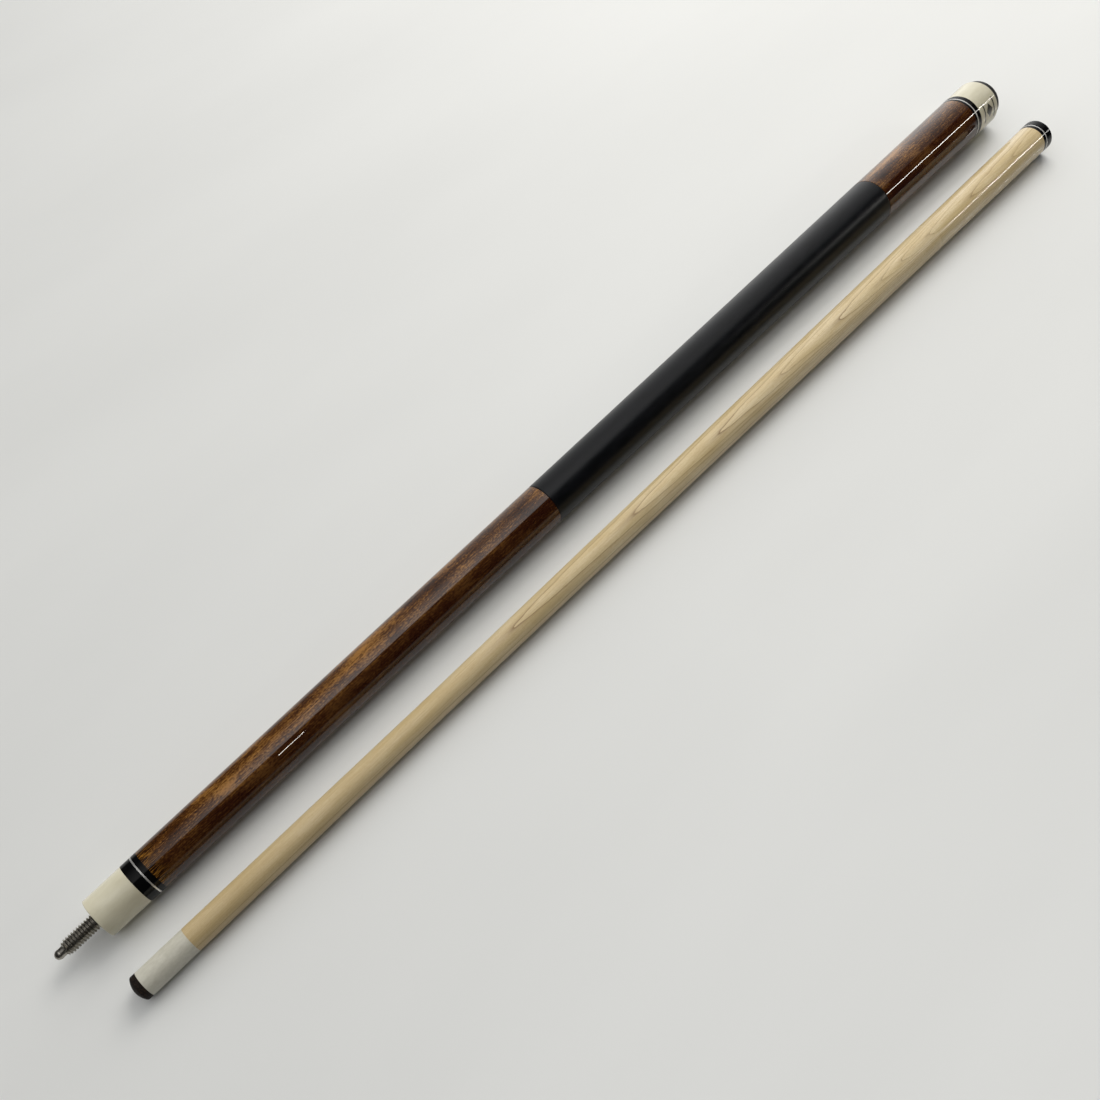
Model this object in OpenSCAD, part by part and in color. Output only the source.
// Two-piece pool cue, unscrewed: the butt and the shaft lie side by side on a flat surface.
// Each half is drawn along its own axis, from its left end, and is then laid down along +X.
// Both halves rest on Z = 0, and the origin is under the middle of what they cover.

/* [Overall] */
// Length of the butt, from the joint face to the end of the bumper
butt_len = 737; // [690:1:790]
// Length of the shaft, from the top of the tip to its joint face
shaft_len = 737; // [690:1:790]
// Diameter of both halves at the joint faces
joint_d = 21.3; // [20.8:0.1:22.4]
// Diameter of the butt at the rear edge of its cap
cap_d = 31.8; // [30:0.1:33]
// Diameter of the tip and ferrule
tip_d = 13; // [11.8:0.1:14]

/* [Layout] */
// Distance across, from the butt's axis to the shaft's axis at the tip
lay_gap = 37.9; // [32:0.1:120]
// How far the tip reaches past the butt's joint face
lay_lead = 7.3; // [-60:0.1:60]
// Angle between the two halves, seen from above
lay_angle = 0.71; // [0:0.01:3]

/* [Joint on the butt] */
// Length of the ivory-coloured joint collar
collar_len = 21; // [16:0.5:30]
// Width of the black ring beside the collar
collar_ring_wide_w = 5.2; // [3:0.1:7]
// Width of the silver ring behind the joint
collar_ring_silver_w = 0.8; // [0.6:0.1:2]
// Width of the black ring beside the forearm
collar_ring_narrow_w = 2.8; // [1.5:0.1:5]
// Diameter of the forearm's tenon inside the collar and rings
joint_tenon_d = 15; // [13:0.1:17]

/* [Joint pin] */
// Diameter over the pin's thread
pin_d = 7.94; // [7:0.01:9]
// Length of thread that stands out of the joint face
pin_thread_len = 18; // [12:0.5:20]
// Length of the plain neck between the thread and the ball
pin_neck_len = 0.4; // [0.3:0.1:3]
// Diameter of the plain neck
pin_neck_d = 4.1; // [3:0.1:4.1]
// Diameter of the ball that guides the pin in
pin_ball_d = 4.6; // [4.2:0.1:5]
// Diameter of the pin's shank, buried in the forearm
pin_shank_d = 9.5; // [9.2:0.1:11]
// Length of the shank
pin_shank_len = 36; // [30:1:44]

/* [Butt] */
// Length of the wooden sleeve behind the wrap
sleeve_len = 100; // [84:1:140]
// Length of the wrap; the forearm takes what is left in front of it
wrap_len = 309; // [240:1:370]
// Thickness of the wrap
wrap_t = 1.1; // [0.8:0.1:2]
// Diameter of the two studs that join the butt's wooden sections
stud_d = 9.5; // [8:0.1:12]
// Length of each stud
stud_len = 50; // [36:1:60]

/* [Butt cap] */
// Length of the ivory-coloured butt cap
cap_len = 20; // [18:0.5:30]
// Width of the black ring beside the sleeve
cap_ring_narrow_w = 1.8; // [1:0.1:4]
// Width of the silver ring
cap_ring_silver_w = 0.9; // [0.6:0.1:2]
// Width of the black ring beside the cap
cap_ring_wide_w = 3.3; // [1:0.1:5]
// Diameter of the sleeve's tenon inside the rings and the cap
cap_tenon_d = 22; // [18:0.1:24]
// Rounding of the cap's rear edge
cap_edge_r = 1.2; // [0.5:0.1:2]
// Thickness of the cap's rear wall, behind the tenon
cap_wall = 6; // [4:0.5:8]

/* [Bumper] */
// How far the bumper stands out behind the cap
bumper_h = 6; // [4:0.5:9]
// Step from the cap's edge in to the bumper's edge
bumper_step = 1.5; // [1.2:0.1:3]
// Rounding of the bumper's rear edge
bumper_round = 3.6; // [1:0.1:3.8]
// Diameter of the bumper's stem, over its ribs
bumper_stem_d = 11; // [9:0.1:12]
// Length of the bumper's stem
bumper_stem_len = 18; // [12:1:22]

/* [Weight bolt] */
// Diameter of the weight bolt
bolt_d = 12.7; // [12.2:0.1:14]
// Length of the weight bolt
bolt_len = 38; // [20:1:44]
// Size of the bolt's hex socket, across its corners
bolt_hex_d = 7.3; // [5:0.1:8]
// Depth of the hex socket
bolt_hex_depth = 7; // [4:1:12]
// Distance from the cap's rear face to the bolt's rear face
bolt_inset = 38; // [34:1:60]
// Free bore in front of the bolt
bolt_room = 8; // [5:1:20]

/* [Shaft] */
// Height of the tip
tip_h = 5; // [4:0.1:7]
// Radius of the tip's dome
tip_dome_r = 10.6; // [9:0.1:12]
// Length of the ferrule
ferrule_len = 25.4; // [15:0.1:30]
// Diameter of the shaft's tenon inside the ferrule
ferrule_tenon_d = 8; // [7:0.1:9]
// Thickness of the ferrule's closed end
ferrule_cap = 6.4; // [3:0.1:8]
// Distance from the tip over which the shaft keeps the tip's diameter
straight_len = 180; // [100:1:300]

/* [Joint on the shaft] */
// Width of the black ring beside the shaft's wood
shaft_ring_narrow_w = 2.6; // [1.5:0.1:5]
// Width of the silver ring
shaft_ring_silver_w = 0.8; // [0.6:0.1:2]
// Width of the black collar at the shaft's joint face
shaft_collar_w = 5.6; // [3:0.1:8]
// Diameter of the shaft's tenon inside the rings and collar
shaft_tenon_d = 15; // [13.5:0.1:17]
// Outer diameter of the brass insert
insert_d = 11; // [10.6:0.1:12]
// How much further the insert reaches than the pin's thread
insert_spare = 1; // [0.5:0.5:4]
// Diameter of the pilot hole behind the insert, for the pin's ball
pilot_d = 5.4; // [5.2:0.1:6.5]
// Length of the pilot hole
pilot_len = 9; // [8:1:16]

/* [Fits] */
// Glue gap on each side of a glued tenon, stud or insert
glue_gap = 0.05; // [0.02:0.01:0.1]
// Running clearance on each side of a thread or a sliding piece
run_gap = 0.06; // [0.03:0.01:0.1]
// Rounding of the edges at the joint faces
edge_r = 0.25; // [0.1:0.05:0.5]

/* [Hidden] */
$fn = 96;
// How far a cutting shape runs past the face it opens, and a joined rod into its neighbour
past = 1;

ivory = "ivory";
black = "#151515";
silver = "silver";
steel = "#b9bcc0";
brass = "#c8a24a";
amber = "#8a4a1c";
maple = "#d9bf8e";

// Places along the butt, from its joint face
collar_end = collar_len;
collar_wide_end = collar_end + collar_ring_wide_w;
collar_silver_end = collar_wide_end + collar_ring_silver_w;
forearm_start = collar_silver_end + collar_ring_narrow_w;
cap_end = butt_len - bumper_h;
cap_start = cap_end - cap_len;
cap_silver_end = cap_start - cap_ring_wide_w;
cap_narrow_end = cap_silver_end - cap_ring_silver_w;
sleeve_end = cap_narrow_end - cap_ring_narrow_w;
wrap_end = sleeve_end - sleeve_len;
wrap_start = wrap_end - wrap_len;
cap_tenon_end = cap_end - cap_wall;
bolt_end = cap_end - bolt_inset;
bolt_start = bolt_end - bolt_len;
bolt_bore_r = bolt_d / 2 + run_gap;
pin_r = pin_d / 2;
pin_ball_at = pin_thread_len + pin_neck_len + pin_ball_d / 2;
pin_out = pin_ball_at + pin_ball_d / 2;
stud_half = stud_len / 2;

// Places along the shaft, from the top of its tip
dome_h = tip_dome_r - sqrt(tip_dome_r * tip_dome_r - tip_d * tip_d / 4);
ferrule_end = tip_h + ferrule_len;
shaft_collar_start = shaft_len - shaft_collar_w;
shaft_silver_start = shaft_collar_start - shaft_ring_silver_w;
shaft_narrow_start = shaft_silver_start - shaft_ring_narrow_w;
insert_start = shaft_len - pin_thread_len - insert_spare;

// Each half rests on its lower line, so its axis rises a little towards the thick end
butt_tilt = atan((cap_d - joint_d) / 2 / cap_end);
shaft_tilt = atan((joint_d - tip_d) / 2 / (shaft_len - dome_h));
butt_face_z = joint_d / 2 * cos(butt_tilt);
shaft_face_z = joint_d / 2 * cos(shaft_tilt);
shaft_tip_z = shaft_face_z - shaft_len * sin(shaft_tilt);

// What the two halves cover, measured from the butt's joint face
shaft_face_x = shaft_len * cos(shaft_tilt) * cos(lay_angle) - lay_lead;
shaft_face_y = -lay_gap - shaft_len * cos(shaft_tilt) * sin(lay_angle);
low_x = min(-pin_out * cos(butt_tilt), -lay_lead);
high_x = max(butt_len * cos(butt_tilt), shaft_face_x);
low_y = min(-lay_gap - tip_d / 2, shaft_face_y - joint_d / 2 * cos(lay_angle));
high_y = cap_d / 2;
butt_x = -(low_x + high_x) / 2;
butt_y = -(low_y + high_y) / 2;

// Outer radius of the butt, a straight taper from the joint face to the cap's rear edge
function butt_r(s) = joint_d / 2 + (cap_d - joint_d) / 2 * s / cap_end;

// Outer radius of the shaft: straight behind the tip, then a straight taper to the joint face
function shaft_r(t) = tip_d / 2
    + (joint_d - tip_d) / 2 * max(0, t - straight_len) / (shaft_len - straight_len);

// Points of an arc, as [radius, height] pairs
function arc(r0, z0, r, from, to, steps = 8) =
    [for (i = [0 : steps]) let (a = from + (to - from) * i / steps) [r0 + r * cos(a), z0 + r * sin(a)]];

// Lays a half down: its own axis, drawn along Z, turns to +X and rises by the tilt
module lay_butt() {
    translate([butt_x, butt_y, butt_face_z]) rotate([0, 90 - butt_tilt, 0]) children();
}

module lay_shaft() {
    translate([butt_x - lay_lead, butt_y - lay_gap, shaft_tip_z])
        rotate([0, 90 - shaft_tilt, -lay_angle]) children();
}

// A solid of the butt's outer shape from s0 to s1
module butt_body(s0, s1) {
    translate([0, 0, s0]) cylinder(h = s1 - s0, r1 = butt_r(s0), r2 = butt_r(s1));
}

// A solid of the shaft's outer shape from t0 to t1, where it tapers
module shaft_body(t0, t1) {
    translate([0, 0, t0]) cylinder(h = t1 - t0, r1 = shaft_r(t0), r2 = shaft_r(t1));
}

// A straight round rod, or the tool for a bore when it is taken away
module rod(s0, s1, r) {
    translate([0, 0, s0]) cylinder(h = s1 - s0, r = r);
}

// A ring on the butt's taper, bored for the tenon inside it
module butt_ring(s0, s1, tenon_d) {
    difference() {
        butt_body(s0, s1);
        rod(s0 - past, s1 + past, tenon_d / 2 + glue_gap);
    }
}

// A ring on the shaft's taper, bored for the shaft's tenon
module shaft_ring(t0, t1) {
    difference() {
        shaft_body(t0, t1);
        rod(t0 - past, t1 + past, shaft_tenon_d / 2 + glue_gap);
    }
}

// The chamfer that breaks the outer edge of a joint face at height z; side is the body's side of it
module face_edge(z, side) {
    r = joint_d / 2;
    rotate_extrude()
        polygon([[r - edge_r, z - side * past], [r - edge_r, z],
                 [r + past, z + side * (edge_r + past)], [r + past, z - side * past]]);
}

// ---- Butt ----

module joint_pin() {
    color(steel) lay_butt() {
        rod(0, pin_shank_len, pin_shank_d / 2);
        rod(-pin_thread_len, 0, pin_r);
        rod(-pin_ball_at, -pin_thread_len, pin_neck_d / 2);
        translate([0, 0, -pin_ball_at]) sphere(d = pin_ball_d);
    }
}

module joint_collar() {
    color(ivory) lay_butt() difference() {
        butt_ring(0, collar_end, joint_tenon_d);
        face_edge(0, 1);
    }
}

module collar_ring_wide() {
    color(black) lay_butt() butt_ring(collar_end, collar_wide_end, joint_tenon_d);
}

module collar_ring_silver() {
    color(silver) lay_butt() butt_ring(collar_wide_end, collar_silver_end, joint_tenon_d);
}

module collar_ring_narrow() {
    color(black) lay_butt() butt_ring(collar_silver_end, forearm_start, joint_tenon_d);
}

// The forearm's tenon carries the collar and rings, and its two bores hold the pin and a stud
module forearm() {
    color(amber) lay_butt() difference() {
        union() {
            butt_body(forearm_start, wrap_start);
            rod(0, forearm_start + past, joint_tenon_d / 2);
        }
        rod(-past, pin_shank_len, pin_shank_d / 2 + glue_gap);
        rod(wrap_start - stud_half, wrap_start + past, stud_d / 2 + glue_gap);
    }
}

module stud(s) {
    color(steel) lay_butt() rod(s - stud_half, s + stud_half, stud_d / 2);
}

module forearm_stud() {
    stud(wrap_start);
}

module sleeve_stud() {
    stud(wrap_end);
}

// The handle's wood is turned down so that the wrap comes flush with the sections beside it
module handle_core() {
    color(maple) lay_butt() difference() {
        translate([0, 0, wrap_start])
            cylinder(h = wrap_len, r1 = butt_r(wrap_start) - wrap_t, r2 = butt_r(wrap_end) - wrap_t);
        rod(wrap_start - past, wrap_start + stud_half, stud_d / 2 + glue_gap);
        rod(wrap_end - stud_half, wrap_end + past, stud_d / 2 + glue_gap);
    }
}

module wrap() {
    inner = wrap_t - glue_gap;
    color(black) lay_butt() difference() {
        butt_body(wrap_start, wrap_end);
        translate([0, 0, wrap_start - past])
            cylinder(h = wrap_len + 2 * past, r1 = butt_r(wrap_start - past) - inner,
                     r2 = butt_r(wrap_end + past) - inner);
    }
}

// The rear tenon carries the rings and the cap, and the bore in it holds the weight bolt
module butt_sleeve() {
    color(amber) lay_butt() difference() {
        union() {
            butt_body(wrap_end, sleeve_end);
            rod(sleeve_end - past, cap_tenon_end, cap_tenon_d / 2);
        }
        rod(wrap_end - past, wrap_end + stud_half, stud_d / 2 + glue_gap);
        rod(bolt_start - bolt_room, cap_tenon_end + past, bolt_bore_r);
    }
}

module cap_ring_narrow() {
    color(black) lay_butt() butt_ring(sleeve_end, cap_narrow_end, cap_tenon_d);
}

module cap_ring_silver() {
    color(silver) lay_butt() butt_ring(cap_narrow_end, cap_silver_end, cap_tenon_d);
}

module cap_ring_wide() {
    color(black) lay_butt() butt_ring(cap_silver_end, cap_start, cap_tenon_d);
}

// A cup over the sleeve's tenon, with a hole in its rear wall for the bumper's stem
module butt_cap() {
    r = cap_d / 2;
    color(ivory) lay_butt() difference() {
        rotate_extrude()
            polygon(concat([[0, cap_start], [butt_r(cap_start), cap_start]],
                           arc(r - cap_edge_r, cap_end - cap_edge_r, cap_edge_r, 0, 90),
                           [[0, cap_end]]));
        rod(cap_start - past, cap_tenon_end, cap_tenon_d / 2 + glue_gap);
        rod(cap_tenon_end - past, cap_end + past, bumper_stem_d / 2 + run_gap);
    }
}

// A set screw with a hex socket in its rear face
module weight_bolt() {
    color(steel) lay_butt() difference() {
        rod(bolt_start, bolt_end, bolt_d / 2);
        translate([0, 0, bolt_end - bolt_hex_depth])
            cylinder(h = bolt_hex_depth + past, d = bolt_hex_d, $fn = 6);
    }
}

// A round rubber foot with a ribbed stem that pushes into the cap
module bumper() {
    head_r = cap_d / 2 - bumper_step;
    rib_w = 2;
    rib_h = 0.6;
    ribs = floor((bumper_stem_len - rib_w) / (2 * rib_w));
    stem_end = cap_end - bumper_stem_len;
    color("#1c1c1c") lay_butt() {
        rotate_extrude()
            polygon(concat([[0, cap_end], [head_r, cap_end]],
                           arc(head_r - bumper_round, cap_end + bumper_h - bumper_round, bumper_round, 0, 90),
                           [[0, cap_end + bumper_h]]));
        rod(stem_end, cap_end + past, bumper_stem_d / 2 - rib_h);
        for (i = [0 : ribs - 1])
            rod(stem_end + (2 * i + 1) * rib_w, stem_end + (2 * i + 2) * rib_w, bumper_stem_d / 2);
    }
}

// ---- Shaft ----

// A leather disc with a domed top
module tip() {
    color("#2b211b") lay_shaft() intersection() {
        rod(0, tip_h, tip_d / 2);
        translate([0, 0, tip_dome_r]) sphere(r = tip_dome_r);
    }
}

// A thimble over the shaft's front tenon
module ferrule() {
    color("#efece2") lay_shaft() difference() {
        rod(tip_h, ferrule_end, tip_d / 2);
        rod(tip_h + ferrule_cap, ferrule_end + past, ferrule_tenon_d / 2 + glue_gap);
    }
}

// Straight behind the ferrule and then tapered, with a tenon at each end
module shaft_wood() {
    color(maple) lay_shaft() difference() {
        union() {
            rod(tip_h + ferrule_cap, ferrule_end + past, ferrule_tenon_d / 2);
            rod(ferrule_end, straight_len, tip_d / 2);
            shaft_body(straight_len, shaft_narrow_start);
            rod(shaft_narrow_start - past, shaft_len, shaft_tenon_d / 2);
        }
        rod(insert_start, shaft_len + past, insert_d / 2 + glue_gap);
        rod(insert_start - pilot_len, insert_start + past, pilot_d / 2);
    }
}

module shaft_ring_narrow() {
    color(black) lay_shaft() shaft_ring(shaft_narrow_start, shaft_silver_start);
}

module shaft_ring_silver() {
    color(silver) lay_shaft() shaft_ring(shaft_silver_start, shaft_collar_start);
}

module shaft_collar() {
    color(black) lay_shaft() difference() {
        shaft_ring(shaft_collar_start, shaft_len);
        face_edge(shaft_len, -1);
    }
}

// The threaded insert that the joint pin screws into
module shaft_insert() {
    color(brass) lay_shaft() difference() {
        rod(insert_start, shaft_len, insert_d / 2);
        rod(insert_start - past, shaft_len + past, pin_r + run_gap);
    }
}

joint_pin();
joint_collar();
collar_ring_wide();
collar_ring_silver();
collar_ring_narrow();
forearm();
forearm_stud();
handle_core();
wrap();
sleeve_stud();
butt_sleeve();
cap_ring_narrow();
cap_ring_silver();
cap_ring_wide();
butt_cap();
weight_bolt();
bumper();
tip();
ferrule();
shaft_wood();
shaft_ring_narrow();
shaft_ring_silver();
shaft_collar();
shaft_insert();
